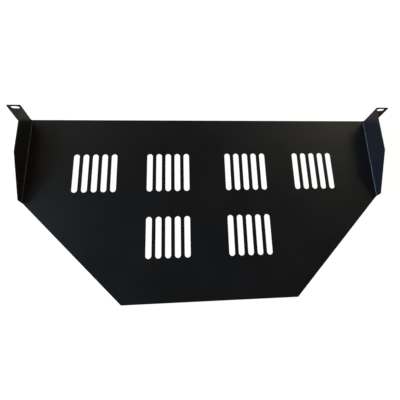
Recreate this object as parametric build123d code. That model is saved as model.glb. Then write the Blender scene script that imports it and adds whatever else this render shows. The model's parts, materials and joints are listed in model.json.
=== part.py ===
from build123d import *
import os

# Cantilever rack shelf, one rack unit high, folded from one steel sheet.
# Each flat of the sheet is a plate cut to its own outline, and each fold is the
# edge of one flat turned through a right angle on to the next: the tray folds up
# into a gusset on both sides, and each gusset folds outwards into a rack ear.
# Sizes are in millimetres. X runs across the rack, Y from the ears to the rear, Z up.

# Sheet
sheet = 1.2                    # thickness of the steel
bend_radius = 1.2              # inside radius of every fold
corner_radius = 1.0            # round on the cut corners of the blank
corner_relief = 0.6            # slit between an ear's fold and the tray's fold

# Rack ears: the holes lie where a 19-inch rack has them, the outer pair of one unit
rack_hole_spacing = 465.1      # across the rack
rack_hole_rise = 31.75         # from the lower hole to the upper one
hole_to_ear_edge = 8.75        # hole centre to the ear's outer edge
hole_to_ear_end = 5.925        # hole centre to the ear's top or bottom edge
hole_to_gusset = 7.7           # hole centre to the gusset's outer face
ear_slot_length = 10.3
ear_slot_width = 7.1

# Gussets: level along the front, then tapering down to a low rear end
gusset_level = 60.0            # ears' front face to the start of the taper
gusset_taper = 49.0            # length of the taper
gusset_end_rise = 9.3          # height of the rear end above the fold

# Tray: its rear corners are cut off at 45 degrees, from the inner faces of the gussets' rear ends
tray_depth = 230.0             # ears' front face to the rear edge

# Vents: groups of slots that run from front to rear
vent_slot_length = 50.0
vent_slot_width = 7.0
vent_web = 4.6                 # steel between two slots of a group
slots_per_group = 5
vent_setback = 48.0            # front edge to the front row
vent_row_gap = 32.0            # from the front row to the rear row
vent_middle_gap = 46.6         # between the two groups beside the centre line
vent_side_gap = 37.6           # from those groups to the outer ones

# Sizes that follow from these
ear_height = rack_hole_rise + 2 * hole_to_ear_end
ear_outer = rack_hole_spacing / 2 + hole_to_ear_edge
gusset_outer = rack_hole_spacing / 2 - hole_to_gusset
gusset_inner = gusset_outer - sheet
tray_edge = gusset_inner - bend_radius
ear_inner = gusset_outer + bend_radius
fold_rise = sheet + bend_radius
gusset_length = gusset_level + gusset_taper
side_length = gusset_length + (gusset_inner - tray_edge)
rear_edge = tray_edge - (tray_depth - side_length)
vent_pitch = vent_slot_width + vent_web
group_width = slots_per_group * vent_pitch - vent_web
inner_group = (vent_middle_gap + group_width) / 2
outer_group = inner_group + group_width + vent_side_gap
front_row = vent_setback + vent_slot_length / 2
rear_row = front_row + vent_slot_length + vent_row_gap


def vent_group() -> Sketch:
    """One group of slots, centred on the origin."""
    slot = SlotOverall(vent_slot_length, vent_slot_width, rotation=90)
    return Sketch() + [place * slot for place in GridLocations(vent_pitch, 0, slots_per_group, 1)]


def tray() -> Part:
    """The flat tray, with four groups of vents in front and two behind."""
    half = [(0, 0), (tray_edge, 0), (tray_edge, side_length), (rear_edge, tray_depth), (0, tray_depth)]
    outline = make_face(Polyline(*half, close=True))
    outline += mirror(outline, about=Plane.YZ)
    outline = fillet(outline.vertices().group_by(Axis.Y)[-1], corner_radius)
    group = vent_group()
    for x in (-outer_group, -inner_group, inner_group, outer_group):
        outline -= Pos(x, front_row) * group
    for x in (-inner_group, inner_group):
        outline -= Pos(x, rear_row) * group
    return extrude(outline, sheet)


def tray_fold() -> Part:
    """The fold along the tray's side edge, which turns the sheet up into a gusset.

    The 45 degree cut of the tray's rear corner runs on through the fold to the gusset's inner face.
    """
    edge = Plane.YZ.offset(tray_edge) * Rectangle(side_length, sheet, align=(Align.MIN, Align.MIN))
    hinge = Axis((tray_edge, 0, fold_rise), (0, -1, 0))
    fold = revolve(edge, hinge, revolution_arc=90)
    corners = [
        (tray_edge, side_length),
        (gusset_inner, gusset_length),
        (gusset_outer, gusset_length),
        (gusset_outer, side_length),
    ]
    cut_off = extrude(make_face(Polyline(*corners, close=True)), fold_rise)
    return fold - cut_off


def gusset() -> Part:
    """The upright side wall, from the ear's fold to its low rear end."""
    end_height = fold_rise + gusset_end_rise
    corners = [
        (fold_rise, fold_rise),
        (gusset_length, fold_rise),
        (gusset_length, end_height),
        (gusset_level, ear_height),
        (fold_rise, ear_height),
    ]
    outline = make_face(Polyline(*corners, close=True))
    tip = outline.vertices().sort_by_distance((gusset_length, end_height))[0]
    knee = outline.vertices().sort_by_distance((gusset_level, ear_height))[0]
    outline = fillet([tip, knee], corner_radius)
    return extrude(Plane.YZ.offset(gusset_inner) * outline, sheet)


def ear_fold() -> Part:
    """The fold at the gusset's front edge, which turns the sheet out into an ear."""
    foot = fold_rise + corner_relief
    edge = Plane((gusset_inner, fold_rise, foot), x_dir=(1, 0, 0), z_dir=(0, -1, 0)) * Rectangle(
        sheet, ear_height - foot, align=(Align.MIN, Align.MIN)
    )
    hinge = Axis((ear_inner, fold_rise, 0), (0, 0, 1))
    return revolve(edge, hinge, revolution_arc=90)


def ear() -> Part:
    """The flat ear, with an oval slot for each rack screw."""
    width = ear_outer - ear_inner
    outline = Pos(ear_inner + width / 2, ear_height / 2) * Rectangle(width, ear_height)
    outline = fillet(outline.vertices().group_by(Axis.X)[-1], corner_radius)
    for z in (hole_to_ear_end, ear_height - hole_to_ear_end):
        outline -= Pos(rack_hole_spacing / 2, z) * SlotOverall(ear_slot_length, ear_slot_width)
    back = Plane((0, sheet, 0), x_dir=(1, 0, 0), z_dir=(0, -1, 0))
    return extrude(back * outline, sheet)


def shelf() -> Part:
    """The whole folded sheet, with its origin midway between the rack holes, on the ears' back."""
    side = tray_fold() + gusset() + ear_fold() + ear()
    sheet_metal = tray() + side + mirror(side, about=Plane.YZ)
    return Pos(0, -sheet, -ear_height / 2) * sheet_metal


os.makedirs("parts", exist_ok=True)
export_step(shelf(), "parts/shelf.step")
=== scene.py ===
"""A cantilever rack shelf, folded from one powder-coated steel sheet, on a pale studio floor.

The sheet's upper face is cut, perforated and folded first, then given its thickness and the
soft edges that a coat of powder leaves. Sizes are given in millimetres and drawn in metres, in
the frame's own axes: X across the rack, Y from the ears to the rear edge, Z up.
"""

import json
import logging
import math
from dataclasses import dataclass, field
from enum import Enum
from typing import Any, Optional

import bmesh
import bpy
from mathutils import Matrix, Quaternion, Vector

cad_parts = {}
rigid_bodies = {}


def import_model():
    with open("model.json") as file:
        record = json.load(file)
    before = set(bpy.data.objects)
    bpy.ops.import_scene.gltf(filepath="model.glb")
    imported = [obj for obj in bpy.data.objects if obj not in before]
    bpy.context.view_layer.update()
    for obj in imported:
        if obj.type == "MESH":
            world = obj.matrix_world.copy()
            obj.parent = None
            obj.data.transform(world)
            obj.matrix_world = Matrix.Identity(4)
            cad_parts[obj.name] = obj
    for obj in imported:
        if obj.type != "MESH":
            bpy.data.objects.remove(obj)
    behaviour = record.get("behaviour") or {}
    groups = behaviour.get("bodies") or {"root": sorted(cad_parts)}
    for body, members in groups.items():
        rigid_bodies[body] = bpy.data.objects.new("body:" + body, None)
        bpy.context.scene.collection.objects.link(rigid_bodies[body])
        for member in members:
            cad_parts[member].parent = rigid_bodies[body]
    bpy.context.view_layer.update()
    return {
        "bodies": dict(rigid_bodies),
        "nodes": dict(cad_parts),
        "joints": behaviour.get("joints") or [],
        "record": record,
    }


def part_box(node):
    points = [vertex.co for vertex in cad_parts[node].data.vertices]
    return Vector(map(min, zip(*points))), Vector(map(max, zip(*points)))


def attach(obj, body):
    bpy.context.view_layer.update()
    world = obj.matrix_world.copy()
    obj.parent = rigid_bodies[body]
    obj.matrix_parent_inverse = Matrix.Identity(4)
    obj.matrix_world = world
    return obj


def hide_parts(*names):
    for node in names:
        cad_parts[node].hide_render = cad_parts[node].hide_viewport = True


LOG = logging.getLogger("rack_shelf")
MM = 0.001
WHITE = (1.0, 1.0, 1.0, 1.0)

Point = tuple[float, float]
Drawing = list[tuple[float, float, float]]


def linear(hex_colour: str) -> tuple[float, float, float, float]:
    """Turn an sRGB hex colour into linear light.

    Args:
        hex_colour: Six hex digits after a hash sign.

    Returns:
        Red, green and blue in linear light, and an alpha of 1.
    """
    channels = [int(hex_colour[i:i + 2], 16) / 255 for i in (1, 3, 5)]
    light = [c / 12.92 if c <= 0.04045 else ((c + 0.055) / 1.055) ** 2.4 for c in channels]
    return light[0], light[1], light[2], 1.0


def add_node(tree: bpy.types.NodeTree, kind: str, inputs: Optional[dict[Any, Any]] = None,
             **settings: Any) -> bpy.types.Node:
    """Add a node to a tree, with its settings, values and links.

    Args:
        tree: The tree that gets the node.
        kind: The node's type name.
        inputs: Input name or number, to a value, an output socket or a list of output sockets.
        **settings: The node's own properties.

    Returns:
        The new node.
    """
    node = tree.nodes.new(kind)
    for name, value in settings.items():
        setattr(node, name, value)
    for key, value in (inputs or {}).items():
        sources = value if isinstance(value, list) else [value]
        for source in sources:
            if isinstance(source, bpy.types.NodeSocket):
                tree.links.new(source, node.inputs[key])
            else:
                node.inputs[key].default_value = source
    return node


def placement(origin: Vector, x_axis: Vector, y_axis: Vector) -> Matrix:
    """Make the matrix that carries a flat drawing to its place on the shelf.

    Args:
        origin: Where the drawing's origin goes.
        x_axis: The direction that the drawing's x takes.
        y_axis: The direction that the drawing's y takes.

    Returns:
        The placing matrix.
    """
    turn = Matrix((x_axis, y_axis, x_axis.cross(y_axis))).transposed()
    return Matrix.Translation(origin) @ turn.to_4x4()


class Along(Enum):
    """Directions of the shelf, as the maker names them."""

    ACROSS = Vector((1.0, 0.0, 0.0))
    REARWARDS = Vector((0.0, 1.0, 0.0))
    UP = Vector((0.0, 0.0, 1.0))


@dataclass(frozen=True)
class PowderCoat:
    """Satin black polyester powder on steel, sprayed dry and baked.

    The melted powder levels into a faint orange peel over a fine grain, so reflections are soft
    and slightly mottled, and cut edges come out rounded.
    """

    name: str = "powder_coated_steel"
    colour: str = "#1d1d1e"
    dull_colour: str = "#212122"
    roughness: float = 0.36
    roughness_spread: float = 0.08
    ior: float = 1.5
    cloud_mm: float = 55.0
    cloud_low: float = 0.3  # the noise seldom leaves the range from here
    cloud_high: float = 0.7  # to here
    peel_mm: float = 2.4  # real orange peel is about 1 mm: drawn coarser, so that it shows
    peel_height_mm: float = 0.012
    grain_mm: float = 0.9  # the real grain is about 0.3 mm: drawn coarser, so that it shows
    grain_height_mm: float = 0.006

    def material(self) -> bpy.types.Material:
        """Build the coat's material.

        Returns:
            The material, with its patterns in Object coordinates.
        """
        material = bpy.data.materials.new(self.name)
        material.use_nodes = True
        tree = material.node_tree
        tree.nodes.clear()
        place = add_node(tree, "ShaderNodeTexCoord").outputs["Object"]
        clouds = add_node(tree, "ShaderNodeTexNoise", {
            "Vector": place, "Scale": 1 / (self.cloud_mm * MM), "Detail": 3.0, "Roughness": 0.55})
        peel = add_node(tree, "ShaderNodeTexNoise", {
            "Vector": place, "Scale": 1 / (self.peel_mm * MM), "Detail": 1.0, "Roughness": 0.4})
        grain = add_node(tree, "ShaderNodeTexNoise", {
            "Vector": place, "Scale": 1 / (self.grain_mm * MM), "Detail": 1.0, "Roughness": 0.5})
        tint = add_node(tree, "ShaderNodeMix", {
            0: clouds.outputs["Fac"], 6: linear(self.colour), 7: linear(self.dull_colour)},
            data_type="RGBA")
        sheen = add_node(tree, "ShaderNodeMapRange", {
            "Value": clouds.outputs["Fac"], "From Min": self.cloud_low, "From Max": self.cloud_high,
            "To Min": self.roughness - self.roughness_spread / 2,
            "To Max": self.roughness + self.roughness_spread / 2})
        levelled = add_node(tree, "ShaderNodeBump", {
            "Height": peel.outputs["Fac"], "Strength": 1.0, "Distance": self.peel_height_mm * MM})
        grained = add_node(tree, "ShaderNodeBump", {
            "Height": grain.outputs["Fac"], "Strength": 1.0, "Distance": self.grain_height_mm * MM,
            "Normal": levelled.outputs["Normal"]})
        coat = add_node(tree, "ShaderNodeBsdfPrincipled", {
            "Base Color": tint.outputs[2], "Roughness": sheen.outputs["Result"],
            "IOR": self.ior, "Normal": grained.outputs["Normal"]})
        add_node(tree, "ShaderNodeOutputMaterial", {"Surface": coat.outputs["BSDF"]})
        return material


@dataclass(frozen=True)
class ShownWhite:
    """How white the studio shows: plain white to the eye, and dimmer where the coat mirrors it."""

    to_eye: float
    mirrored: float

    def strength(self, tree: bpy.types.NodeTree) -> bpy.types.NodeSocket:
        """Lay the nodes that tell what the eye sees from what a surface mirrors.

        Args:
            tree: The material's or the world's tree.

        Returns:
            The socket with the strength, which is 0 where the studio lights a surface.
        """
        path = add_node(tree, "ShaderNodeLightPath").outputs
        mirror = add_node(tree, "ShaderNodeMath", {
            0: path["Is Glossy Ray"], 1: path["Is Transmission Ray"]}, operation="MAXIMUM")
        dimmed = add_node(tree, "ShaderNodeMath", {
            0: mirror.outputs[0], 1: self.mirrored}, operation="MULTIPLY")
        shown = add_node(tree, "ShaderNodeMath", {
            0: path["Is Camera Ray"], 1: self.to_eye, 2: dimmed.outputs[0]}, operation="MULTIPLY_ADD")
        return shown.outputs[0]


@dataclass(frozen=True)
class MattFloor:
    """Matt pale studio floor, which shows white wherever light reaches it and keeps a soft shadow."""

    name: str = "matt_pale_floor"
    colour: str = "#d0be9c"
    shown: ShownWhite = ShownWhite(to_eye=0.93, mirrored=0.04)

    def material(self) -> bpy.types.Material:
        """Build the floor's material.

        Returns:
            A pale diffuse floor, lifted to white for the eye.
        """
        material = bpy.data.materials.new(self.name)
        material.use_nodes = True
        tree = material.node_tree
        tree.nodes.clear()
        matt = add_node(tree, "ShaderNodeBsdfDiffuse", {"Color": linear(self.colour)})
        white = add_node(tree, "ShaderNodeEmission", {
            "Color": WHITE, "Strength": self.shown.strength(tree)})
        floor = add_node(tree, "ShaderNodeAddShader", {0: matt.outputs[0], 1: white.outputs[0]})
        add_node(tree, "ShaderNodeOutputMaterial", {"Surface": floor.outputs[0]})
        return material


@dataclass
class SheetTool:
    """A Geometry Nodes tree that shapes sheet metal from a line drawing.

    Subclasses name the tree and its sizes, and lay its nodes.
    """

    title: str = ""
    sizes: dict[str, str] = field(default_factory=dict)

    def __post_init__(self) -> None:
        """Build the tree, with a geometry input, the named sizes and a material input."""
        self.tree = bpy.data.node_groups.new(self.title, "GeometryNodeTree")
        sockets = {"Geometry": "NodeSocketGeometry", **self.sizes, "Material": "NodeSocketMaterial"}
        for name, kind in sockets.items():
            self.tree.interface.new_socket(name, in_out="INPUT", socket_type=kind)
        self.tree.interface.new_socket("Geometry", in_out="OUTPUT", socket_type="NodeSocketGeometry")
        given = add_node(self.tree, "NodeGroupInput").outputs
        shaped = self.lay_nodes(given)
        real = add_node(self.tree, "GeometryNodeRealizeInstances", {"Geometry": shaped})
        coated = add_node(self.tree, "GeometryNodeSetMaterial", {
            "Geometry": real.outputs[0], "Material": given["Material"]})
        add_node(self.tree, "NodeGroupOutput", {"Geometry": coated.outputs[0]})

    def lay_nodes(self, given: bpy.types.NodeOutputs) -> bpy.types.NodeSocket:
        """Lay the nodes between the inputs and the result.

        Args:
            given: The tree's inputs.

        Returns:
            The socket with the shaped sheet.
        """
        raise NotImplementedError

    def shape(self, drawing: bpy.types.Mesh, values: dict[str, Any]) -> bpy.types.Mesh:
        """Run the tree on a drawing.

        Args:
            drawing: Edges and points in the XY plane.
            values: Input name to its value.

        Returns:
            The shaped sheet as a plain mesh.
        """
        holder = bpy.data.objects.new(self.title, drawing)
        bpy.context.scene.collection.objects.link(holder)
        modifier = holder.modifiers.new(self.title, "NODES")
        modifier.node_group = self.tree
        for item in self.tree.interface.items_tree:
            if item.in_out == "INPUT" and item.name in values:
                modifier[item.identifier] = values[item.name]
        seen = holder.evaluated_get(bpy.context.evaluated_depsgraph_get())
        mesh = bpy.data.meshes.new_from_object(seen)
        bpy.data.objects.remove(holder)
        return mesh


@dataclass
class SlottedFlat(SheetTool):
    """Cuts one flat of the sheet, with rows of round-ended slots.

    The drawing's edges are the flat's outline, with a corner radius on each point, and its loose
    points are the middles of the slot rows.
    """

    title: str = "Slotted flat"
    sizes: dict[str, str] = field(default_factory=lambda: {
        "Slot Width": "NodeSocketFloat",
        "Slot Height": "NodeSocketFloat",
        "Slot Pitch": "NodeSocketFloat",
        "Slots per Row": "NodeSocketInt",
        "Steps per Corner": "NodeSocketInt",
    })

    def lay_nodes(self, given: bpy.types.NodeOutputs) -> bpy.types.NodeSocket:
        """Lay the nodes that round the outline, repeat the slot and fill what is left."""
        tree = self.tree
        corner = add_node(tree, "GeometryNodeInputNamedAttribute", {
            "Name": "corner"}, data_type="FLOAT")
        lines = add_node(tree, "GeometryNodeMeshToCurve", {"Mesh": given["Geometry"]})
        outline = add_node(tree, "GeometryNodeFilletCurve", {
            "Curve": lines.outputs[0], "Count": given["Steps per Corner"],
            "Radius": corner.outputs[0], "Limit Radius": True}, mode="POLY")
        narrow = add_node(tree, "ShaderNodeMath", {
            0: given["Slot Width"], 1: given["Slot Height"]}, operation="MINIMUM")
        end_radius = add_node(tree, "ShaderNodeMath", {
            0: narrow.outputs[0], 1: 0.5}, operation="MULTIPLY")
        oblong = add_node(tree, "GeometryNodeCurvePrimitiveQuadrilateral", {
            "Width": given["Slot Width"], "Height": given["Slot Height"]}, mode="RECTANGLE")
        slot = add_node(tree, "GeometryNodeFilletCurve", {
            "Curve": oblong.outputs[0], "Count": given["Steps per Corner"],
            "Radius": end_radius.outputs[0], "Limit Radius": True}, mode="POLY")
        gaps = add_node(tree, "ShaderNodeMath", {
            0: given["Slots per Row"], 1: 1.0}, operation="SUBTRACT")
        span = add_node(tree, "ShaderNodeMath", {
            0: gaps.outputs[0], 1: given["Slot Pitch"]}, operation="MULTIPLY")
        first = add_node(tree, "ShaderNodeMath", {0: span.outputs[0], 1: -0.5}, operation="MULTIPLY")
        start = add_node(tree, "ShaderNodeCombineXYZ", {"X": first.outputs[0]})
        step = add_node(tree, "ShaderNodeCombineXYZ", {"X": given["Slot Pitch"]})
        stops = add_node(tree, "GeometryNodeMeshLine", {
            "Count": given["Slots per Row"], "Start Location": start.outputs[0],
            "Offset": step.outputs[0]}, mode="OFFSET")
        row = add_node(tree, "GeometryNodeInstanceOnPoints", {
            "Points": stops.outputs[0], "Instance": slot.outputs[0]})
        linked = add_node(tree, "GeometryNodeInputMeshVertexNeighbors")
        loose = add_node(tree, "FunctionNodeCompare", {2: linked.outputs["Vertex Count"], 3: 0},
                         data_type="INT", operation="EQUAL")
        middles = add_node(tree, "GeometryNodeMeshToPoints", {
            "Mesh": given["Geometry"], "Selection": loose.outputs[0]})
        rows = add_node(tree, "GeometryNodeInstanceOnPoints", {
            "Points": middles.outputs[0], "Instance": row.outputs[0]})
        cuts = add_node(tree, "GeometryNodeRealizeInstances", {"Geometry": rows.outputs[0]})
        all_lines = add_node(tree, "GeometryNodeJoinGeometry", {
            "Geometry": [outline.outputs[0], cuts.outputs[0]]})
        flat = add_node(tree, "GeometryNodeFillCurve", {"Curve": all_lines.outputs[0]}, mode="NGONS")
        return flat.outputs[0]


@dataclass
class Fold(SheetTool):
    """Sweeps the arc of a right-angle fold along its hinge line.

    The drawing is the hinge line, along +Y, with a point wherever a neighbour has one. The arc
    runs from +X to -Z about that line. End Slant draws the far end back with the distance from
    the hinge, where a slanting cut runs on through the fold.
    """

    title: str = "Fold along a line"
    sizes: dict[str, str] = field(default_factory=lambda: {
        "Radius": "NodeSocketFloat",
        "Steps": "NodeSocketInt",
        "End Slant": "NodeSocketFloat",
    })

    def lay_nodes(self, given: bpy.types.NodeOutputs) -> bpy.types.NodeSocket:
        """Lay the nodes that draw the arc, carry it along the hinge and slant its far end."""
        tree = self.tree
        hinge = add_node(tree, "GeometryNodeMeshToCurve", {"Mesh": given["Geometry"]})
        last = add_node(tree, "GeometryNodeCurveEndpointSelection", {"Start Size": 0, "End Size": 1})
        marked = add_node(tree, "GeometryNodeStoreNamedAttribute", {
            "Geometry": hinge.outputs[0], "Name": "far end", "Value": last.outputs[0]},
            data_type="BOOLEAN", domain="POINT")
        points = add_node(tree, "ShaderNodeMath", {0: given["Steps"], 1: 1.0}, operation="ADD")
        arc = add_node(tree, "GeometryNodeCurveArc", {
            "Resolution": points.outputs[0], "Radius": given["Radius"], "Start Angle": 0.0,
            "Sweep Angle": math.radians(90)}, mode="RADIUS")
        strip = add_node(tree, "GeometryNodeCurveToMesh", {
            "Curve": marked.outputs[0], "Profile Curve": arc.outputs[0]})
        place = add_node(tree, "GeometryNodeInputPosition")
        reach = add_node(tree, "ShaderNodeSeparateXYZ", {"Vector": place.outputs[0]})
        slant = add_node(tree, "ShaderNodeMath", {
            0: reach.outputs["X"], 1: given["End Slant"]}, operation="MULTIPLY")
        back = add_node(tree, "ShaderNodeMath", {0: slant.outputs[0], 1: -1.0}, operation="MULTIPLY")
        offset = add_node(tree, "ShaderNodeCombineXYZ", {"Y": back.outputs[0]})
        far_end = add_node(tree, "GeometryNodeInputNamedAttribute", {
            "Name": "far end"}, data_type="BOOLEAN")
        slanted = add_node(tree, "GeometryNodeSetPosition", {
            "Geometry": strip.outputs[0], "Selection": far_end.outputs[0],
            "Offset": offset.outputs[0]})
        plain = add_node(tree, "GeometryNodeRemoveAttribute", {
            "Geometry": slanted.outputs[0], "Name": "far end"})
        return plain.outputs[0]


@dataclass
class VentPattern:
    """Groups of long slots that let air through the tray."""

    slot_length: float = 50.0 * MM
    slot_width: float = 7.0 * MM
    web: float = 4.6 * MM
    slots_per_group: int = 5
    setback: float = 48.0 * MM
    row_gap: float = 32.0 * MM
    middle_gap: float = 46.6 * MM
    side_gap: float = 37.6 * MM

    @property
    def pitch(self) -> float:
        """Distance from one slot to the next."""
        return self.slot_width + self.web

    def middles(self) -> list[Point]:
        """Work out where the groups lie.

        Returns:
            The middle of each group, from the front edge's midpoint.
        """
        group = self.slots_per_group * self.pitch - self.web
        inner = (self.middle_gap + group) / 2
        outer = inner + group + self.side_gap
        front = self.setback + self.slot_length / 2
        rear = front + self.slot_length + self.row_gap
        front_row = [(x, front) for x in (-outer, -inner, inner, outer)]
        return front_row + [(x, rear) for x in (-inner, inner)]


@dataclass
class FoldedShelf:
    """The whole shelf: tray, folds, gussets and ears of one sheet."""

    low: Vector
    high: Vector
    sheet: float
    hole_spacing: float
    hole_rise: float
    hole_length: float
    hole_width: float
    vents: VentPattern = field(default_factory=VentPattern)
    bend_radius: float = 1.2 * MM
    corner_radius: float = 1.0 * MM
    corner_relief: float = 0.6 * MM
    hole_to_gusset: float = 7.7 * MM
    gusset_level: float = 60.0 * MM
    gusset_taper: float = 49.0 * MM
    gusset_end_rise: float = 9.3 * MM
    edge_round: float = 0.22 * MM
    edge_steps: int = 3
    sharp_from: float = 50.0  # degrees: a cut edge turns by 90, a step of a bend by far less
    bend_steps: int = 8  # wide enough on the inside of a bend to hold the edge's round
    corner_steps: int = 10
    weld: float = 0.01 * MM  # points of neighbouring flats and folds that become one

    @classmethod
    def from_frame(cls, frame: dict[str, Any], node: str) -> "FoldedShelf":
        """Take the sizes that the frame holds.

        Args:
            frame: The loaded frame.
            node: Name of the shelf's node.

        Returns:
            A shelf of the same size and in the same place.
        """
        low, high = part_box(node)
        mounts = {mount["name"]: mount for mount in frame["record"]["mounts"]}
        holes = mounts["rack_holes"]["dims"]
        return cls(
            low=low,
            high=high,
            sheet=mounts["tray_top"]["pos_m"][2] - mounts["tray_underside"]["pos_m"][2],
            hole_spacing=holes["spacing_x_mm"] * MM,
            hole_rise=holes["spacing_y_mm"] * MM,
            hole_length=holes["slot_length_mm"] * MM,
            hole_width=2 * holes["hole_r_mm"] * MM,
        )

    def __post_init__(self) -> None:
        """Work out the sizes that follow from the others."""
        self.height = self.high.z - self.low.z
        self.depth = self.high.y - self.low.y
        self.ear_outer = self.high.x
        self.gusset_outer = self.hole_spacing / 2 - self.hole_to_gusset
        self.gusset_inner = self.gusset_outer - self.sheet
        self.tray_edge = self.gusset_inner - self.bend_radius
        self.ear_inner = self.gusset_outer + self.bend_radius
        self.fold_rise = self.sheet + self.bend_radius
        self.ear_foot = self.fold_rise + self.corner_relief
        self.gusset_length = self.gusset_level + self.gusset_taper
        self.side_length = self.gusset_length + self.bend_radius
        self.rear_edge = self.tray_edge - (self.depth - self.side_length)

    def tray_outline(self) -> Drawing:
        """Draw the tray: x across, y from the front edge.

        Returns:
            Corners with their radii.
        """
        right = [
            (self.tray_edge, 0.0, 0.0),
            (self.tray_edge, self.fold_rise, 0.0),
            (self.tray_edge, self.side_length, 0.0),
            (self.rear_edge, self.depth, self.corner_radius),
        ]
        left = [(-x, y, radius) for x, y, radius in reversed(right)]
        return right + left

    def gusset_outline(self) -> Drawing:
        """Draw a gusset: x from the front edge, y up from the underside.

        Returns:
            Corners with their radii.
        """
        return [
            (self.fold_rise, self.fold_rise, 0.0),
            (self.gusset_length, self.fold_rise, 0.0),
            (self.gusset_length, self.fold_rise + self.gusset_end_rise, self.corner_radius),
            (self.gusset_level, self.height, self.corner_radius),
            (self.fold_rise, self.height, 0.0),
            (self.fold_rise, self.ear_foot, 0.0),
        ]

    def ear_outline(self) -> Drawing:
        """Draw an ear: x across, y up from the underside.

        Returns:
            Corners with their radii.
        """
        return [
            (self.ear_inner, 0.0, 0.0),
            (self.ear_outer, 0.0, self.corner_radius),
            (self.ear_outer, self.height, self.corner_radius),
            (self.ear_inner, self.height, 0.0),
            (self.ear_inner, self.ear_foot, 0.0),
        ]

    @staticmethod
    def drawing(outline: Drawing, middles: list[Point]) -> bpy.types.Mesh:
        """Put an outline and the middles of its slot rows into one line drawing.

        Args:
            outline: Corners with their radii, in order round the flat.
            middles: Middles of the slot rows.

        Returns:
            The drawing.
        """
        mesh = bpy.data.meshes.new("drawing")
        points = [(x, y, 0.0) for x, y, _ in outline] + [(x, y, 0.0) for x, y in middles]
        count = len(outline)
        mesh.from_pydata(points, [(i, (i + 1) % count) for i in range(count)], [])
        corner = mesh.attributes.new("corner", "FLOAT", "POINT")
        corner.data.foreach_set("value", [radius for *_, radius in outline] + [0.0] * len(middles))
        return mesh

    @staticmethod
    def hinge(stops: list[float]) -> bpy.types.Mesh:
        """Draw a hinge line along +Y.

        Args:
            stops: Places of its points, in order.

        Returns:
            The drawing.
        """
        mesh = bpy.data.meshes.new("hinge")
        points = [(0.0, stop, 0.0) for stop in stops]
        mesh.from_pydata(points, [(i, i + 1) for i in range(len(stops) - 1)], [])
        return mesh

    def upper_face(self, coat: bpy.types.Material) -> bmesh.types.BMesh:
        """Cut and fold the face of the sheet that ends up on top, inside and in front.

        Args:
            coat: The material of every flat and fold.

        Returns:
            One connected face, with its normals out of the sheet.
        """
        flat, fold = SlottedFlat(), Fold()
        vents = self.vents
        slots = {"Material": coat, "Steps per Corner": self.corner_steps}
        tray = flat.shape(self.drawing(self.tray_outline(), vents.middles()), {
            **slots, "Slot Width": vents.slot_width, "Slot Height": vents.slot_length,
            "Slot Pitch": vents.pitch, "Slots per Row": vents.slots_per_group})
        gusset = flat.shape(self.drawing(self.gusset_outline(), []), slots)
        hole_end = (self.height - self.hole_rise) / 2
        holes = [(self.hole_spacing / 2, z) for z in (hole_end, self.height - hole_end)]
        ear = flat.shape(self.drawing(self.ear_outline(), holes), {
            **slots, "Slot Width": self.hole_length, "Slot Height": self.hole_width,
            "Slot Pitch": 0.0, "Slots per Row": 1})
        bend = {"Material": coat, "Steps": self.bend_steps}
        tray_fold = fold.shape(self.hinge([0.0, self.fold_rise, self.side_length]), {
            **bend, "Radius": self.bend_radius, "End Slant": 1.0})
        ear_fold = fold.shape(self.hinge([self.ear_foot, self.height]), {
            **bend, "Radius": self.bend_radius + self.sheet, "End Slant": 0.0})

        across, rearwards, up = (way.value for way in Along)
        front_foot = Vector((0.0, self.low.y, self.low.z))
        side = [
            (gusset, placement(front_foot + across * self.gusset_inner, rearwards, up)),
            (ear, placement(front_foot, across, up)),
            (tray_fold, placement(
                front_foot + across * self.tray_edge + up * self.fold_rise, across, rearwards)),
            (ear_fold, placement(
                front_foot + across * self.ear_inner + rearwards * self.fold_rise, -across, up)),
        ]
        mirror = Matrix.Scale(-1.0, 4, across)
        pieces = [(tray, placement(front_foot + up * self.sheet, across, rearwards))]
        pieces += side + [(mesh, mirror @ place) for mesh, place in side]

        face = bmesh.new()
        for mesh, place in pieces:
            mesh = mesh.copy()
            mesh.transform(place)
            face.from_mesh(mesh)
            bpy.data.meshes.remove(mesh)
        bmesh.ops.remove_doubles(face, verts=face.verts, dist=self.weld)
        bmesh.ops.recalc_face_normals(face, faces=face.faces)
        widest = max(face.faces, key=lambda f: f.calc_area())
        if widest.normal.z < 0:
            bmesh.ops.reverse_faces(face, faces=face.faces)
        return face

    def build(self, coat: bpy.types.Material) -> bpy.types.Object:
        """Make the shelf's mesh: the folded face, thickened, with rounded cut edges.

        Args:
            coat: The shelf's material.

        Returns:
            The shelf as one plain mesh object at the origin.
        """
        face = self.upper_face(coat)
        mesh = bpy.data.meshes.new("folded_shelf")
        face.to_mesh(mesh)
        face.free()
        mesh.materials.clear()
        mesh.materials.append(coat)
        shelf = bpy.data.objects.new("folded_shelf", mesh)
        bpy.context.scene.collection.objects.link(shelf)
        thick = shelf.modifiers.new("sheet thickness", "SOLIDIFY")
        thick.thickness = self.sheet
        thick.offset = -1.0
        thick.use_even_offset = True
        soft = shelf.modifiers.new("coated edges", "BEVEL")
        soft.limit_method = "ANGLE"
        soft.angle_limit = math.radians(self.sharp_from)
        soft.width = self.edge_round
        soft.segments = self.edge_steps
        soft.use_clamp_overlap = False
        soft.loop_slide = False
        smooth = shelf.modifiers.new("even shading", "WEIGHTED_NORMAL")
        smooth.keep_sharp = False
        for polygon in mesh.polygons:
            polygon.use_smooth = True
        seen = shelf.evaluated_get(bpy.context.evaluated_depsgraph_get())
        finished = bpy.data.meshes.new_from_object(seen)
        shelf.modifiers.clear()
        shelf.data = finished
        finished.name = "folded_shelf"
        bpy.data.meshes.remove(mesh)
        return shelf

    def dress(self, shelf: bpy.types.Object, node: str, slot: str) -> None:
        """Tie the shelf to the frame.

        Args:
            shelf: The finished object.
            node: The node that it stands for.
            slot: The record's material slot; not used.
        """
        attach(shelf, "root")
        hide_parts(node)


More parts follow.
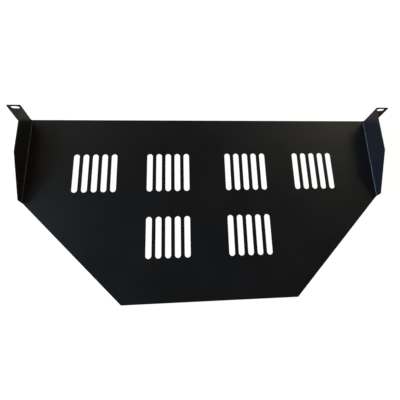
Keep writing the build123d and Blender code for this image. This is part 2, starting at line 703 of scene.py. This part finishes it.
@dataclass(frozen=True)
class SoftBox:
    """A large soft lamp that faces the shelf."""

    name: str
    azimuth: float
    elevation: float
    distance: float
    width: float
    height: float
    watts: float
    colour: str = "#ffffff"

    def light(self, target: Vector) -> None:
        """Hang the lamp.

        Args:
            target: The point that it faces.
        """
        data = bpy.data.lights.new(self.name, "AREA")
        data.shape = "RECTANGLE"
        data.size = self.width
        data.size_y = self.height
        data.energy = self.watts
        data.color = linear(self.colour)[:3]
        lamp = bpy.data.objects.new(self.name, data)
        bpy.context.scene.collection.objects.link(lamp)
        back = looking_back(self.azimuth, self.elevation)
        lamp.location = target + back * self.distance
        lamp.rotation_euler = (-back).to_track_quat("-Z", "Y").to_euler()


def looking_back(azimuth: float, elevation: float) -> Vector:
    """Give the direction from the shelf to a viewer.

    Args:
        azimuth: Degrees round the shelf: 0 in front of the ears, 90 on the +X side.
        elevation: Degrees above the horizon.

    Returns:
        A unit vector.
    """
    turn, rise = math.radians(azimuth), math.radians(elevation)
    return Vector((
        math.sin(turn) * math.cos(rise),
        -math.cos(turn) * math.cos(rise),
        math.sin(rise),
    ))


@dataclass
class Studio:
    """Floor, room light, lamps and camera."""

    low: Vector
    floor_size: float = 40.0
    floor_gap: float = 0.1 * MM  # a thin sheet never lies wholly flat
    room_light: float = 0.03
    room_colour: str = "#fff6dc"
    room_shown: ShownWhite = ShownWhite(to_eye=1.0, mirrored=0.04)
    lamps: tuple[SoftBox, ...] = (
        SoftBox("cool_window", azimuth=82.0, elevation=7.0, distance=2.0, width=1.8, height=0.45,
                watts=52.0, colour="#b4d1ff"),
        SoftBox("cool_skylight", azimuth=84.0, elevation=40.0, distance=1.8, width=0.6, height=0.6,
                watts=5.8, colour="#c4deff"),
        SoftBox("ceiling_panel", azimuth=45.0, elevation=50.0, distance=2.0, width=1.0, height=1.0,
                watts=1.3, colour="#fffaec"),
        SoftBox("warm_room", azimuth=-44.0, elevation=43.0, distance=1.8, width=0.8, height=0.8,
                watts=3.2, colour="#fff7e2"),
        SoftBox("warm_wall", azimuth=-66.0, elevation=12.0, distance=1.6, width=0.5, height=0.5,
                watts=1.7, colour="#fff8dc"),
        SoftBox("rear_wall", azimuth=172.0, elevation=14.0, distance=2.0, width=1.6, height=0.7,
                watts=9.0, colour="#fff5e6"),
    )
    aim: Vector = field(default_factory=lambda: Vector((-26.4, 35.1, -20.6)) * MM)
    azimuth: float = 161.48
    elevation: float = 66.91
    distance: float = 563.2 * MM
    roll: float = 16.93
    lens: float = 38.09
    sensor: float = 36.0
    shift: Point = (-0.0655, -0.1368)

    def floor(self) -> None:
        """Lay the floor under the shelf."""
        half = self.floor_size / 2
        mesh = bpy.data.meshes.new("studio_floor")
        corners = [(-half, -half), (half, -half), (half, half), (-half, half)]
        level = self.low.z - self.floor_gap
        mesh.from_pydata([(x, y, level) for x, y in corners], [], [(0, 1, 2, 3)])
        mesh.materials.append(MattFloor().material())
        floor = bpy.data.objects.new("studio_floor", mesh)
        bpy.context.scene.collection.objects.link(floor)

    def room(self) -> None:
        """Light the room dimly and a little warm all round, white to the eye."""
        world = bpy.data.worlds.new("white_room")
        bpy.context.scene.world = world
        world.use_nodes = True
        tree = world.node_tree
        tree.nodes.clear()
        level = add_node(tree, "ShaderNodeMath", {
            0: self.room_shown.strength(tree), 1: self.room_light}, operation="MAXIMUM")
        path = add_node(tree, "ShaderNodeLightPath").outputs
        tint = add_node(tree, "ShaderNodeMix", {
            0: path["Is Camera Ray"], 6: linear(self.room_colour), 7: WHITE},
            data_type="RGBA")
        light = add_node(tree, "ShaderNodeBackground", {
            "Color": tint.outputs[2], "Strength": level.outputs[0]})
        add_node(tree, "ShaderNodeOutputWorld", {"Surface": light.outputs["Background"]})

    def camera(self) -> None:
        """Set up the camera, above the rear edge and looking towards the ears."""
        data = bpy.data.cameras.new("photo_camera")
        data.lens = self.lens
        data.sensor_width = self.sensor
        data.shift_x, data.shift_y = self.shift
        camera = bpy.data.objects.new("photo_camera", data)
        bpy.context.scene.collection.objects.link(camera)
        back = looking_back(self.azimuth, self.elevation)
        camera.location = self.aim + back * self.distance
        level = (-back).to_track_quat("-Z", "Y")
        tilt = Quaternion((0.0, 0.0, 1.0), math.radians(self.roll))
        camera.rotation_euler = (level @ tilt).to_euler()
        bpy.context.scene.camera = camera

    def set_up(self) -> None:
        """Build the whole studio."""
        bpy.context.scene.view_settings.view_transform = "Standard"
        self.floor()
        self.room()
        for lamp in self.lamps:
            lamp.light(self.aim)
        self.camera()


def main() -> None:
    """Build, dress and light the shelf, and log its face count."""
    logging.basicConfig(level=logging.INFO, format="%(name)s: %(message)s")
    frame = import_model()
    shelf_parts = FoldedShelf.from_frame(frame, "shelf")
    shelf = shelf_parts.build(PowderCoat().material())
    shelf_parts.dress(shelf, "shelf", "powder_coated_steel")
    LOG.info("%s: %d faces", shelf.name, len(shelf.data.polygons))
    Studio(shelf_parts.low).set_up()


if __name__ == "__main__":
    main()
